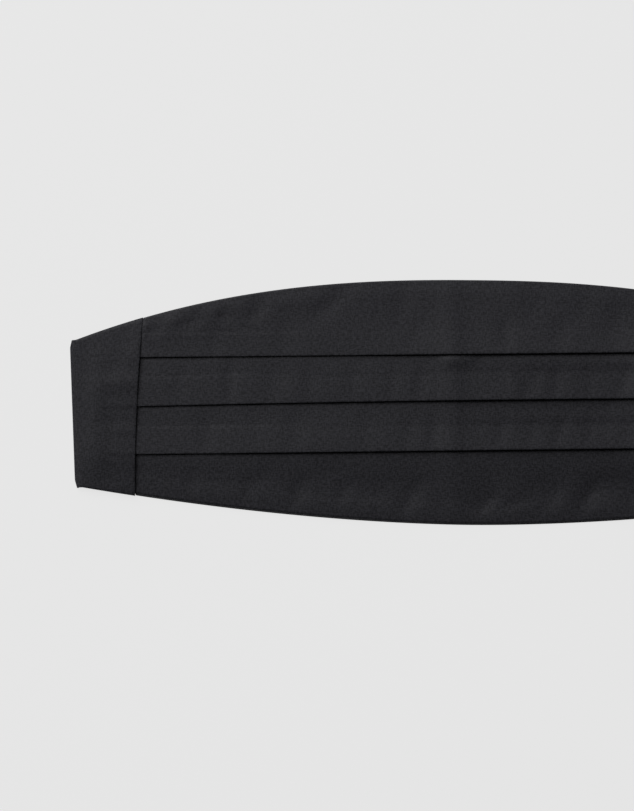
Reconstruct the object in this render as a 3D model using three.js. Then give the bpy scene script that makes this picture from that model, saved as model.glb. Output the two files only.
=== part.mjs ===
// A black satin cummerbund, laid face up on a table with its waist strap hooked closed behind it.
// Millimetres. +X runs along the pleats, +Y away from their folded edges towards the top edge as
// it lies, and +Z up, out of the face.
// The origin is on the table under the middle of the garment.
import * as THREE from "three";
import { mergeVertices } from "three/addons/utils/BufferGeometryUtils.js";

// The cut outline: two curved edges, each falling away from the middle by a power of the distance.
const HALF_LENGTH = 207.5; // middle to either end
const TOP_HEIGHT = 63.4; // top edge, in the middle
const TOP_FALL = 33.8; // how far the top edge has come down at the ends
const TOP_POWER = 2.4;
const BOTTOM_DEPTH = 63.8; // bottom edge, in the middle
const BOTTOM_RISE = 19; // how far the bottom edge has come up at the ends
const BOTTOM_POWER = 1.8;
const CUT_TILT = 0.019; // the outline was cut about one degree off the line of the pleats
const END_LEAN = 0.044; // slope of the end edges from square
const SEAM_X = 174.2; // middle to the seam where an end panel is sewn on
const SEAM_LEAN = 0.0375; // slope of the seams from square
const SEAM_BOW = 0.0005; // curve of the seams, per millimetre
const SEAM_ALLOWANCE = 12.5; // how far the pleated front runs on under an end panel
const ALLOWANCE_TRIM = 1.5; // taken off that strip's top and bottom, so the end panel wraps it
const TRIM_START = 0.6; // from the seam: where that begins

// Cloth.
const WALL = 1; // satin with its fused interlining
const GAP = 0.3; // between layers, and between pieces that are sewn together
const LAYER = WALL + GAP;
const HEM = 8; // width of the turned hems along the top and bottom edges
const HEM_SHARE = 0.45; // the most of the free width beside a pleat that a hem takes
const TURN_STEPS = 3; // facets of a folded edge

// The three pleats open downwards, so each band lies over the one below it. A row gives the height
// of the visible folded edge at the left seam, in the middle and at the right seam, and how deep
// the hidden underlap above it is.
const PLEATS = [
  { left: -25.6, middle: -25.4, right: -25.3, underlap: 13.6 },
  { left: -0.7, middle: 0.7, right: 0.0, underlap: 14.8 },
  { left: 24.8, middle: 24.6, right: 24.6, underlap: 12 },
];
const FOLD_FLAT = 1.5; // a band stays flat this far past its underlap
const FOLD_FOOT = 2; // and reaches the lowest layer this far before the next pleat
const EDGE_ROOM = 4.5; // the top underlap is cut off this far below the curved top edge

// The waist strap and its hook, which lie between the front and the table.
const STRAP_WIDTH = 25;
const STRAP_Y = -7.5;
const STRAP_END_GAP = 0.8; // between the strap's sewn end and the end panel's rim
const HOOK_X = 125;
const HOOK_LENGTH = 22; // along the strap
const HOOK_WIDTH = 30;
const HOOK_CORNER = 2.5;
const BAR = 3; // the two end bars that the strap loops over
const CENTRE_BAR = 5;
const RAIL = 2;
const OPEN_RAIL = 1.7; // beside the slot that has a slit
const HOOK_SLIT_Y = 10.5; // middle of the slit that lets the left loop slip off its bar
const HOOK_SLIT = 2;
const LOOP_EASE = 0.1; // slack of a loop round its bar
const LOOP_SLOPE = 6; // length in which a loop's free end comes down to the strap
const LOOP_TAIL = 22; // length of a loop's sewn-down end past the hook

// How the front lies over them.
const STRAP_CLEAR = LAYER; // lift over the strap
const HOOK_CLEAR = 3 * LAYER + 0.2; // lift over the hook and its loops
const LIFT_FLAT = 17; // half the width that is fully lifted
const HOOK_FLAT = 18; // half the length that is fully lifted at the hook
const HOOK_REACH = 55; // where that lift has died away

// The end panels.
const PANEL_PROUD = 0.3; // stands out past the front's edges
const PANEL_FACE = 2 * WALL + GAP; // height of its face where it lies over the strap's sewn end
const PANEL_FALL_START = 15; // from the seam: past the pleated strip underneath
const PANEL_FALL_END = 30; // from the seam: where the face has come down
const RIM_ROUND = 0.5;
const TELEGRAPH = 4.6; // the panel clears everything this near under it
const PANEL_EASE = 0.14; // and sits this much looser on it than one layer on another

const FRONT_STATIONS = 25;
const PANEL_STATIONS = 10;
const PANEL_COLUMNS = 26;

const { lerp, smoothstep } = THREE.MathUtils;

const satin = new THREE.MeshStandardMaterial({ color: 0x2a2a2c, roughness: 0.5, metalness: 0 });
const panelSatin = new THREE.MeshStandardMaterial({ color: 0x272729, roughness: 0.5, metalness: 0 });
const elastic = new THREE.MeshStandardMaterial({ color: 0x1b1b1d, roughness: 0.8, metalness: 0 });
const blackMetal = new THREE.MeshStandardMaterial({ color: 0x2e2e30, roughness: 0.35, metalness: 0.8 });

function topEdge(x) {
  return TOP_HEIGHT - TOP_FALL * Math.abs(x / HALF_LENGTH) ** TOP_POWER - CUT_TILT * x;
}

function bottomEdge(x) {
  return BOTTOM_RISE * Math.abs(x / HALF_LENGTH) ** BOTTOM_POWER - BOTTOM_DEPTH - CUT_TILT * x;
}

// X of a line across the front at height y. u is -1 on the left seam and 1 on the right one.
function stationX(u, y) {
  return u * SEAM_X + (CUT_TILT - u * SEAM_LEAN) * y - u * SEAM_BOW * y * y;
}

function endX(side, y) {
  return side * HALF_LENGTH + (CUT_TILT + side * END_LEAN) * y;
}

// How far the cloth is lifted off the table by the strap and the hook under it.
function lift(x, y) {
  const byHook = 1 - smoothstep(Math.abs(x - HOOK_X), HOOK_FLAT, HOOK_REACH);
  const most = lerp(STRAP_CLEAR, HOOK_CLEAR, byHook);
  const edge = y > STRAP_Y ? topEdge(x) : bottomEdge(x);
  const free = Math.abs(edge - STRAP_Y) - HEM;
  return most * (1 - smoothstep(Math.abs(y - STRAP_Y), LIFT_FLAT, free));
}

// Height of a pleat's folded edge on station u, on the parabola through its three named heights.
function foldLine(pleat, u) {
  const bend = (pleat.left + pleat.right) / 2 - pleat.middle;
  return pleat.middle + ((pleat.right - pleat.left) / 2) * u + bend * u * u;
}

// The middle line of a layer, counted up from the table.
function layerZ(n) {
  return WALL / 2 + n * LAYER;
}

// A section of cloth is a list of points on its middle line: p along, z up, and the direction of
// travel (tp, tz), which straight runs leave to setDirections.
function halfTurn(path, outermost, towards, fromZ, toZ) {
  const radius = Math.abs(toZ - fromZ) / 2;
  const up = Math.sign(toZ - fromZ);
  const centre = outermost - towards * (radius + WALL / 2);
  for (let k = 0; k <= TURN_STEPS; k++) {
    const angle = (Math.PI * k) / TURN_STEPS;
    path.push({
      p: centre + towards * radius * Math.sin(angle),
      z: (fromZ + toZ) / 2 - up * radius * Math.cos(angle),
      tp: towards * Math.cos(angle),
      tz: up * Math.sin(angle),
    });
  }
}

function setDirections(path) {
  const unit = (a, b) => new THREE.Vector2(b.p - a.p, b.z - a.z).normalize();
  path.forEach((point, i) => {
    if (point.tp !== undefined) return;
    const before = i > 0 ? unit(path[i - 1], point) : unit(point, path[i + 1]);
    const after = i < path.length - 1 ? unit(point, path[i + 1]) : before;
    const along = before.clone().add(after).normalize();
    point.tp = along.x;
    point.tz = along.y;
  });
  return path;
}

// Points on a straight run, both ends left out.
function run(path, from, to, pieces) {
  for (let k = 1; k < pieces; k++) {
    path.push({ p: lerp(from.p, to.p, k / pieces), z: lerp(from.z, to.z, k / pieces) });
  }
}

// The pleated front on station u: turned hem, bottom band, three pleats, top band, turned hem.
function frontSection(u) {
  const trim = Math.abs(u) >= 1 ? ALLOWANCE_TRIM : 0;
  const settle = (edge) => edge(stationX(u, edge(stationX(u, edge(u * SEAM_X)))));
  const top = settle(topEdge) - trim;
  const bottom = settle(bottomEdge) + trim;
  const folds = PLEATS.map((pleat) => {
    const y = foldLine(pleat, u);
    return { y, underlap: Math.min(pleat.underlap, top - EDGE_ROOM - y) };
  });
  const lastFlat = folds[2].y + folds[2].underlap + FOLD_FLAT;
  const hemBottom = Math.min(HEM, HEM_SHARE * (folds[0].y - FOLD_FOOT - bottom));
  const hemTop = Math.min(HEM, HEM_SHARE * (top - lastFlat));
  const path = [{ p: bottom + hemBottom, z: layerZ(0) }];
  halfTurn(path, bottom, -1, layerZ(0), layerZ(1));
  let from = { p: bottom + hemBottom + WALL, z: layerZ(1) };
  for (const [k, fold] of folds.entries()) {
    const foot = { p: fold.y - FOLD_FOOT, z: layerZ(0) };
    path.push(from);
    run(path, from, foot, k === 0 ? 4 : 2);
    path.push(foot);
    run(path, foot, { p: fold.y + fold.underlap - LAYER, z: layerZ(0) }, 3);
    halfTurn(path, fold.y + fold.underlap, 1, layerZ(0), layerZ(1));
    halfTurn(path, fold.y, -1, layerZ(1), layerZ(2));
    from = { p: fold.y + fold.underlap + FOLD_FLAT, z: layerZ(2) };
    run(path, { p: fold.y, z: layerZ(2) }, from, 3);
  }
  const hemStart = { p: top - hemTop - WALL, z: layerZ(1) };
  path.push(from);
  run(path, from, hemStart, 4);
  path.push(hemStart);
  halfTurn(path, top, 1, layerZ(1), layerZ(0));
  path.push({ p: top - hemTop, z: layerZ(0) });
  return setDirections(path);
}

// Both skins of a wall whose sections are given, one row of points for each section.
function skins(sections, place) {
  const skin = (half) =>
    sections.map((path, row) =>
      path.map((point) => place(row, point.p - point.tz * half, point.z + point.tp * half)),
    );
  return [skin(WALL / 2), skin(-WALL / 2)];
}

// A closed wall between two grids of points. The first faces the way that columns x rows points.
function closedWall([outer, inner]) {
  const rows = outer.length;
  const columns = outer[0].length;
  const at = (side, row, column) => (side * rows + row) * columns + column;
  const index = [];
  const quad = (a, b, c, d) => index.push(a, b, c, a, c, d);
  for (let r = 0; r < rows - 1; r++) {
    for (let c = 0; c < columns - 1; c++) {
      quad(at(0, r, c), at(0, r, c + 1), at(0, r + 1, c + 1), at(0, r + 1, c));
      quad(at(1, r, c), at(1, r + 1, c), at(1, r + 1, c + 1), at(1, r, c + 1));
    }
    quad(at(0, r, 0), at(0, r + 1, 0), at(1, r + 1, 0), at(1, r, 0));
    quad(at(0, r + 1, columns - 1), at(0, r, columns - 1), at(1, r, columns - 1), at(1, r + 1, columns - 1));
  }
  for (let c = 0; c < columns - 1; c++) {
    quad(at(0, 0, c + 1), at(0, 0, c), at(1, 0, c), at(1, 0, c + 1));
    quad(at(0, rows - 1, c), at(0, rows - 1, c + 1), at(1, rows - 1, c + 1), at(1, rows - 1, c));
  }
  const geometry = new THREE.BufferGeometry().setFromPoints([...outer.flat(), ...inner.flat()]);
  geometry.setIndex(index);
  return withoutSlivers(mergeVertices(geometry, 1e-3));
}

// Drops the triangles that merging has left with two corners in one place.
function withoutSlivers(geometry) {
  const old = geometry.index.array;
  const kept = [];
  for (let i = 0; i < old.length; i += 3) {
    const [a, b, c] = old.slice(i, i + 3);
    if (a !== b && b !== c && c !== a) kept.push(a, b, c);
  }
  geometry.setIndex(kept);
  geometry.computeVertexNormals();
  return geometry;
}

function pleatedFront() {
  const last = 1 - TRIM_START / SEAM_X;
  const stations = [1 + SEAM_ALLOWANCE / SEAM_X, 1];
  for (let k = 0; k <= FRONT_STATIONS; k++) stations.push(lerp(last, -last, k / FRONT_STATIONS));
  stations.push(-1, -1 - SEAM_ALLOWANCE / SEAM_X);
  const place = (row, y, z) => {
    const x = stationX(stations[row], y);
    return new THREE.Vector3(x, y, z + lift(x, y));
  };
  return closedWall(skins(stations.map(frontSection), place));
}

// Top of the highest cloth of the front near height y on the section through a seam.
function highestNear(section, x, y) {
  let highest = 0;
  for (const [i, a] of section.entries()) {
    const b = section[Math.min(i + 1, section.length - 1)];
    const near = Math.max(Math.min(a.p, b.p), y - TELEGRAPH) <= Math.min(Math.max(a.p, b.p), y + TELEGRAPH);
    if (near) highest = Math.max(highest, a.z + WALL / 2, b.z + WALL / 2);
  }
  return highest + lift(x, y);
}

// A satin panel sewn over one end of the front, its other three edges turned down to the table.
function endPanel(side) {
  const under = [side, side * (1 + SEAM_ALLOWANCE / SEAM_X)].map(frontSection);
  const rim = [
    { inset: 0, floor: true, drop: 0 },
    { inset: 0, floor: false, drop: RIM_ROUND },
    { inset: RIM_ROUND, floor: false, drop: 0 },
  ];
  const ring = (fromEdge) => rim[fromEdge] ?? { inset: RIM_ROUND, floor: false, drop: 0 };
  const faceHeight = (x, y) => {
    const fromSeam = Math.abs(x - stationX(side, y));
    const raised = Math.max(...under.map((section) => highestNear(section, x, y))) + LAYER + PANEL_EASE;
    return lerp(raised, PANEL_FACE, smoothstep(fromSeam, PANEL_FALL_START, PANEL_FALL_END));
  };
  const point = (row, column, inward) => {
    const across = ring(Math.min(column, PANEL_COLUMNS - column));
    const along = ring(PANEL_STATIONS - row);
    const yShare = THREE.MathUtils.clamp((column - 2) / (PANEL_COLUMNS - 4), 0, 1);
    const xShare = Math.min(row / (PANEL_STATIONS - 2), 1);
    const margin = across.inset + inward - PANEL_PROUD;
    let x = side * SEAM_X;
    let y = 0;
    for (let pass = 0; pass < 4; pass++) {
      y = lerp(topEdge(x) - margin, bottomEdge(x) + margin, yShare);
      x = lerp(stationX(side, y), endX(side, y) - side * (along.inset + inward), xShare);
    }
    const onTable = across.floor || along.floor;
    const z = onTable ? 0 : faceHeight(x, y) - Math.max(across.drop, along.drop) - inward;
    return new THREE.Vector3(x, y, z);
  };
  const skin = (inward) =>
    Array.from({ length: PANEL_STATIONS + 1 }, (_, row) =>
      Array.from({ length: PANEL_COLUMNS + 1 }, (_, column) => point(row, column, inward)),
    );
  const grids = [skin(0), skin(WALL)];
  return closedWall(side > 0 ? grids : grids.map((grid) => grid.reverse()));
}

// A flat strap from its sewn end to the hook, looped over an end bar and stitched back on itself.
function strap(side) {
  const rimX = (corner) => Math.abs(endX(side, STRAP_Y + (corner * STRAP_WIDTH) / 2));
  const sewnEnd = side * (Math.min(rimX(-1), rimX(1)) - WALL - STRAP_END_GAP);
  const barInside = HOOK_LENGTH / 2 - BAR;
  const hookEdge = HOOK_LENGTH / 2;
  const path = [{ p: Math.abs(sewnEnd - HOOK_X), z: layerZ(0) }];
  halfTurn(path, barInside - LOOP_EASE - LAYER - WALL / 2, -1, layerZ(0), layerZ(2));
  path.push(
    { p: hookEdge + WALL, z: layerZ(2) },
    { p: hookEdge + WALL + LOOP_SLOPE, z: layerZ(1) },
    { p: hookEdge + LOOP_TAIL, z: layerZ(1) },
  );
  setDirections(path);
  const place = (row, p, z) =>
    new THREE.Vector3(HOOK_X + side * p, STRAP_Y + side * (row - 0.5) * STRAP_WIDTH, z);
  return closedWall(skins([path, path], place));
}

// A flat metal hook: one closed loop slot, and one with a slit so that its strap can be slipped off.
function hook() {
  const x = HOOK_LENGTH / 2;
  const y = HOOK_WIDTH / 2;
  const barX = x - BAR;
  const slotX = CENTRE_BAR / 2;
  const slotY = y - RAIL;
  const openY = y - OPEN_RAIL;
  const r = HOOK_CORNER;
  const outline = new THREE.Shape();
  outline.moveTo(-x, HOOK_SLIT_Y + HOOK_SLIT / 2);
  outline.lineTo(-barX, HOOK_SLIT_Y + HOOK_SLIT / 2);
  outline.lineTo(-barX, openY);
  outline.lineTo(-slotX, openY);
  outline.lineTo(-slotX, -openY);
  outline.lineTo(-barX, -openY);
  outline.lineTo(-barX, HOOK_SLIT_Y - HOOK_SLIT / 2);
  outline.lineTo(-x, HOOK_SLIT_Y - HOOK_SLIT / 2);
  outline.absarc(-x + r, -y + r, r, Math.PI, 1.5 * Math.PI);
  outline.absarc(x - r, -y + r, r, 1.5 * Math.PI, 2 * Math.PI);
  outline.absarc(x - r, y - r, r, 0, 0.5 * Math.PI);
  outline.absarc(-x + r, y - r, r, 0.5 * Math.PI, Math.PI);
  const slot = new THREE.Path();
  slot.moveTo(slotX, -slotY);
  slot.lineTo(slotX, slotY);
  slot.lineTo(barX, slotY);
  slot.lineTo(barX, -slotY);
  outline.holes.push(slot);
  return new THREE.ExtrudeGeometry(outline, { depth: WALL, bevelEnabled: false, curveSegments: 4 });
}

function addPiece(group, name, geometry, material) {
  const mesh = new THREE.Mesh(geometry, material);
  mesh.name = name;
  group.add(mesh);
  return mesh;
}

const cummerbund = new THREE.Group();
addPiece(cummerbund, "pleated_front", pleatedFront(), satin);
addPiece(cummerbund, "end_panel_left", endPanel(-1), panelSatin);
addPiece(cummerbund, "end_panel_right", endPanel(1), panelSatin);
addPiece(cummerbund, "waist_strap_left", strap(-1), elastic);
addPiece(cummerbund, "waist_strap_right", strap(1), elastic);
const hookMesh = addPiece(cummerbund, "strap_hook", hook(), blackMetal);
hookMesh.position.set(HOOK_X, STRAP_Y, LAYER);

export default cummerbund;
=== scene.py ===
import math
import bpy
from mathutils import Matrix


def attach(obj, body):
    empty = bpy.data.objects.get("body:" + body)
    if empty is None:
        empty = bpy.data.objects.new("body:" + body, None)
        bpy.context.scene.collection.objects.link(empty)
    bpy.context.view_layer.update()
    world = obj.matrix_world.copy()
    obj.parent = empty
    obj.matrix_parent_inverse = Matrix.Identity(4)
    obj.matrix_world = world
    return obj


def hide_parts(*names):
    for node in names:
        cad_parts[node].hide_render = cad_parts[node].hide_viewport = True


bl_info = {
    "name": "Satin Cummerbund",
    "version": (1, 0, 0),
    "blender": (4, 5, 0),
    "location": "3D View > Sidebar > Cummerbund",
    "description": "A pleated satin cummerbund that lies flat, its waist strap hooked behind it",
    "category": "Object",
}

import bmesh
import bpy
from bpy.props import FloatProperty, FloatVectorProperty, PointerProperty
from mathutils import Matrix, Vector

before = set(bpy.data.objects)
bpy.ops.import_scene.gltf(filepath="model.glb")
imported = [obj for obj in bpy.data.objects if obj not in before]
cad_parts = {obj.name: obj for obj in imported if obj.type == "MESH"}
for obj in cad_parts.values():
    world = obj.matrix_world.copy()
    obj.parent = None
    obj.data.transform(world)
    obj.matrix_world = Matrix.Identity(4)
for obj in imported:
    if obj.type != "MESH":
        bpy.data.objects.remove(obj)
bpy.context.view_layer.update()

# Sizes are in millimetres until a finished mesh is brought to metres. +X runs along the pleats,
# +Y towards the top edge and +Z up out of the face.
MM = 0.001

# The cut outline: two curved edges, each falling away from the middle by a power of the distance.
HALF_LENGTH = 207.5
TOP_HEIGHT, TOP_FALL, TOP_POWER = 63.5, 33.8, 2.4
BOTTOM_DEPTH, BOTTOM_RISE, BOTTOM_POWER = 64.0, 19.0, 1.8
CUT_TILT = 0.019  # the whole outline is turned by this
END_LEAN = 0.044  # the ends lean out towards the top
# The seams of the end panels lean in towards the top and bow in towards both edges. The front goes
# on past them under the panels, where its edges are trimmed back.
SEAM_X, SEAM_LEAN, SEAM_BOW = 174.2, 0.0375, 0.0005
SEAM_ALLOWANCE = 12.5
ALLOWANCE_TRIM = 1.5
TRIM_START = 0.6  # before the seam

HEM = 8.0
HEM_SHARE = 0.45  # the most that a hem takes of the cloth between its edge and the next pleat
HEM_STEP = 1.0  # past a hem's raw edge the cloth over it starts to slope down
EDGE_TURN = 1.2  # room for the curve of a turned edge
EDGE_ROOM = 4.5  # between the end of an underlap and the top edge
UNDERLAP_FLAT = 1.5  # past the end of the highest underlap, before the top hem

# Height of each pleat's folded edge at the left seam, in the middle and at the right seam, and
# the depth of the underlap behind it, from the lowest pleat up.
PLEATS = (
    {"left": -25.6, "middle": -25.4, "right": -25.3, "underlap": 13.6},
    {"left": -0.7, "middle": 0.7, "right": 0.0, "underlap": 14.8},
    {"left": 24.8, "middle": 24.6, "right": 24.6, "underlap": 12.0},
)

STRAP_WIDTH, STRAP_Y = 25.0, -7.5
HOOK_X = 125.0
HOOK_LENGTH = 22.0  # along the strap

# The strap underneath raises the cloth by STRAP_CLEAR, fully so up to LIFT_FLAT from its middle
# line. The hook makes this HOOK_CLEAR up to HOOK_FLAT from its own middle, and no more than the
# strap does past HOOK_REACH.
STRAP_CLEAR, HOOK_CLEAR = 1.3, 4.1
LIFT_FLAT = 17.0
HOOK_FLAT, HOOK_REACH = 18.0, 55.0

CLOTH = 0.4  # satin with its interlining, pressed
LAYER_Z = (0.21, 0.64, 1.08)  # middle of the cloth in the three layers of a pleat

# Near its ends the front is pressed flat. Its pleats start to stand open along OPEN_FROM and lie
# flat again at the end of OPEN_TO. A pair of heights is for the flat part and for the open one.
OPEN_FROM, OPEN_TO = (-75.0, 20.0), (85.0, 172.0)
RIM_HEIGHT, RIM_WIDTH = 0.63, 1.15  # of the bottom edge itself, from which the hem slopes up
BOTTOM_HEIGHT = (1.75, 1.4)  # along the bottom hem
TOP_HEM_HEIGHT = (1.4, 1.4)
FACE_HEIGHT = (1.65, 2.75)  # along a pleat's folded edge
FOOT_DIP = (0.3, 0.35)  # how far a band drops where it goes in under the pleat above

# A pleat's folded edge: it stands off the band below over FOLD_OPEN, its two layers are
# FOLD_THICK apart, and the curve that joins them starts at FOLD_INNER and ends at FOLD_OUTER.
FOLD_OPEN, FOLD_THICK = 9.0, 0.45
FOLD_INNER, FOLD_OUTER = 1.4, 1.1
FOLD_BACK = 0.25  # pressing takes this much off it
FOLD_FOOT = (-2.0, 0.4)  # below it the next band slopes down from here to here

# How far the cloth swells up at each pleat in all its layers: (at the folded edge, at the end of
# the underlap), from the lowest pleat up.
SWELL = (
    ((0.55, 0.5), (0.25, 0.7)),
    ((0.45, 1.1), (0.35, 1.4)),
    ((0.85, 1.75), (1.2, 2.4)),
)
SWELL_START, SWELL_DIP = 15.0, (-0.12, 0.0)  # below the lowest pleat
SWELL_SLOPE = 0.1  # the most that the swell slopes down to the top edge
PUFF, PUFF_REACH = 0.35, 7.0  # the cloth stands off what it lies on, except along its edges

# The end of each underlap shows through where the cloth is pressed, as a small step between these
# distances from it. The heights of the steps are from the lowest pleat up.
STEP_FROM, STEP_TO = 0.3, 0.9
TELEGRAPH = (0.15, 0.13, 0.06)
TELEGRAPH_FADE = (-125.0, -70.0)


def lerp(a, b, t):
    return a + (b - a) * t


def smoothstep(x, low, high):
    t = min(max((x - low) / (high - low), 0.0), 1.0)
    return t * t * (3 - 2 * t)


def top_edge(x):
    return TOP_HEIGHT - TOP_FALL * abs(x / HALF_LENGTH) ** TOP_POWER - CUT_TILT * x


def bottom_edge(x):
    return BOTTOM_RISE * abs(x / HALF_LENGTH) ** BOTTOM_POWER - BOTTOM_DEPTH - CUT_TILT * x


def station_x(u, y):
    """X at height y of a line across the front: u is -1 on the left seam and 1 on the right."""
    return u * SEAM_X + (CUT_TILT - u * SEAM_LEAN) * y - u * SEAM_BOW * y * y


def end_x(side, y):
    return side * HALF_LENGTH + (CUT_TILT + side * END_LEAN) * y


def lift(x, y, margin=HEM):
    """How far the strap and the hook underneath raise the cloth, up to margin from its edges."""
    by_hook = 1 - smoothstep(abs(x - HOOK_X), HOOK_FLAT, HOOK_REACH)
    most = lerp(STRAP_CLEAR, HOOK_CLEAR, by_hook)
    edge = top_edge(x) if y > STRAP_Y else bottom_edge(x)
    free = abs(edge - STRAP_Y) - margin
    return most * (1 - smoothstep(abs(y - STRAP_Y), LIFT_FLAT, free))


def opened(x):
    """How far the pleats stand open at x, from 0 to 1."""
    return smoothstep(x, *OPEN_FROM) * (1 - smoothstep(x, *OPEN_TO))


def fold_line(pleat, u):
    bend = (pleat["left"] + pleat["right"]) / 2 - pleat["middle"]
    return pleat["middle"] + (pleat["right"] - pleat["left"]) / 2 * u + bend * u * u


# ---------------------------------------------------------------------------------------------
# Folding the front


class Section:
    """The line that a folded wall of cloth makes where one plane cuts it: points (y, z)."""

    def __init__(self, y, z, wall=CLOTH):
        self.points = [(y, z)]
        self.marks = {}
        self.wall = wall

    def run(self, y, z, pieces):
        y0, z0 = self.points[-1]
        for k in range(1, pieces + 1):
            self.points.append((lerp(y0, y, k / pieces), lerp(z0, z, k / pieces)))

    def turn(self, outermost, towards, z_to, pieces):
        """Half a turn, whose outer side just reaches outermost."""
        z0 = self.points[-1][1]
        radius = abs(z_to - z0) / 2
        up = math.copysign(1, z_to - z0)
        centre = outermost - towards * (radius + self.wall / 2)
        for k in range(pieces + 1):
            a = math.pi * k / pieces
            y = centre + towards * radius * math.sin(a)
            z = (z0 + z_to) / 2 - up * radius * math.cos(a)
            if k == 0 and abs(y - self.points[-1][0]) < 1e-6:
                continue
            self.points.append((y, z))

    def mark(self, name):
        self.marks[name] = len(self.points) - 1

    def reverse(self):
        self.points.reverse()
        self.marks = {name: len(self.points) - 1 - k for name, k in self.marks.items()}

    def band(self, row):
        """Which band the cloth shows in or lies under, from 0 at the top to 3."""
        return sum(row >= self.marks[f"band_{k}"] for k in (1, 2, 3))

    def lengths(self):
        """How far along the cloth each point is, back from the mark "zero"."""
        total = [0.0]
        for (y0, z0), (y1, z1) in zip(self.points, self.points[1:]):
            total.append(total[-1] + math.hypot(y1 - y0, z1 - z0))
        start = total[self.marks.get("zero", 0)]
        return [start - t for t in total]

    def top_at(self, y, reach):
        """Height of the highest cloth within reach of y."""
        highest = 0.0
        for (y0, z0), (y1, z1) in zip(self.points, self.points[1:]):
            if min(y0, y1) <= y + reach and max(y0, y1) >= y - reach:
                highest = max(highest, z0, z1)
        return highest + self.wall / 2


def settle(edge, u):
    y = edge(u * SEAM_X)
    for _ in range(2):
        y = edge(station_x(u, y))
    return y


def swell(y, folds, top, bottom, open_share):
    """How far the cloth stands up at y, in all of its layers."""
    stops = [(bottom, 0.0), (folds[0][0] - SWELL_START, lerp(*SWELL_DIP, open_share))]
    for (fold, underlap), heights in zip(folds, SWELL):
        at_edge, behind = (lerp(*pair, open_share) for pair in heights)
        behind = min(behind, SWELL_SLOPE * (top - fold - underlap))
        stops += [(fold, at_edge), (fold + underlap, behind)]
    stops.append((top, 0.0))
    puff = PUFF * smoothstep(min(top - y, y - bottom), 0, PUFF_REACH)
    for (y0, z0), (y1, z1) in zip(stops, stops[1:]):
        if y0 <= y <= y1:
            return puff + lerp(z0, z1, (y - y0) / (y1 - y0))
    return 0.0


def front_section(u):
    """The folded front where a line across it cuts it, from the top hem down."""
    trim = ALLOWANCE_TRIM if abs(u) >= 1 else 0.0
    top = settle(top_edge, u) - trim
    bottom = settle(bottom_edge, u) + trim
    low, middle, flat = LAYER_Z
    open_share = opened(u * SEAM_X)
    bottom_z, top_z, face, dip = (
        lerp(*pair, open_share)
        for pair in (BOTTOM_HEIGHT, TOP_HEM_HEIGHT, FACE_HEIGHT, FOOT_DIP)
    )
    pressed = 1 - smoothstep(u * SEAM_X, *TELEGRAPH_FADE)
    folds = []
    for pleat in PLEATS:
        y = fold_line(pleat, u)
        folds.append((y, min(pleat["underlap"], top - EDGE_ROOM - y)))
    foot_from, foot_to = FOLD_FOOT
    hem_bottom = min(HEM, HEM_SHARE * (folds[0][0] + foot_from - bottom))
    hem_top = min(HEM, HEM_SHARE * (top - sum(folds[2]) - UNDERLAP_FLAT))
    s = Section(bottom + hem_bottom, low)
    s.run(bottom + EDGE_TURN, low, 4)
    s.turn(bottom, -1, RIM_HEIGHT, 8)
    s.run(bottom + RIM_WIDTH, bottom_z, 3)
    s.run(bottom + hem_bottom + HEM_STEP, bottom_z, 8)
    for k, (y, underlap) in enumerate(folds):
        s.run(y + foot_from, low + dip, 20 if k == 0 else 10)
        s.run(y + foot_to, low, 5)
        s.mark(f"band_{3 - k}")
        s.run(y + underlap - EDGE_TURN, low, 4)
        s.turn(y + underlap, 1, middle, 4)
        s.run(y + FOLD_OPEN, middle, 2)
        s.run(y + FOLD_INNER, face - FOLD_THICK, 5)
        if k == 1:
            s.mark("zero")
        s.turn(y + FOLD_BACK, -1, face, 8)
        s.run(y + FOLD_OUTER, face, 1)
        s.run(y + underlap + STEP_FROM, flat, 11)
        s.run(y + underlap + STEP_TO, flat - TELEGRAPH[k] * pressed, 1)
    s.run(top - hem_top - HEM_STEP, top_z, 16)
    s.run(top - EDGE_TURN, top_z, 8)
    s.turn(top, 1, low, 8)
    s.run(top - hem_top, low, 4)
    s.points = [(y, z + swell(y, folds, top, bottom, open_share)) for y, z in s.points]
    s.reverse()
    return s


# ---------------------------------------------------------------------------------------------
# Creases. Each is a soft ridge, or a trough where depth is below 0, with its middle at x, y. It is
# on one band, counted from the top, on all of them (None) or on an end panel. lean turns it
# clockwise, in degrees, from straight across the band.

CREASE_DEPTH = 1.2  # depths are given in this unit
CREASE_FADE = (0.1, 0.6)  # shares of the length, from the middle, over which a crease ends
CREASE_REACH = 3  # widths from its middle line, past which it is nothing

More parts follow.
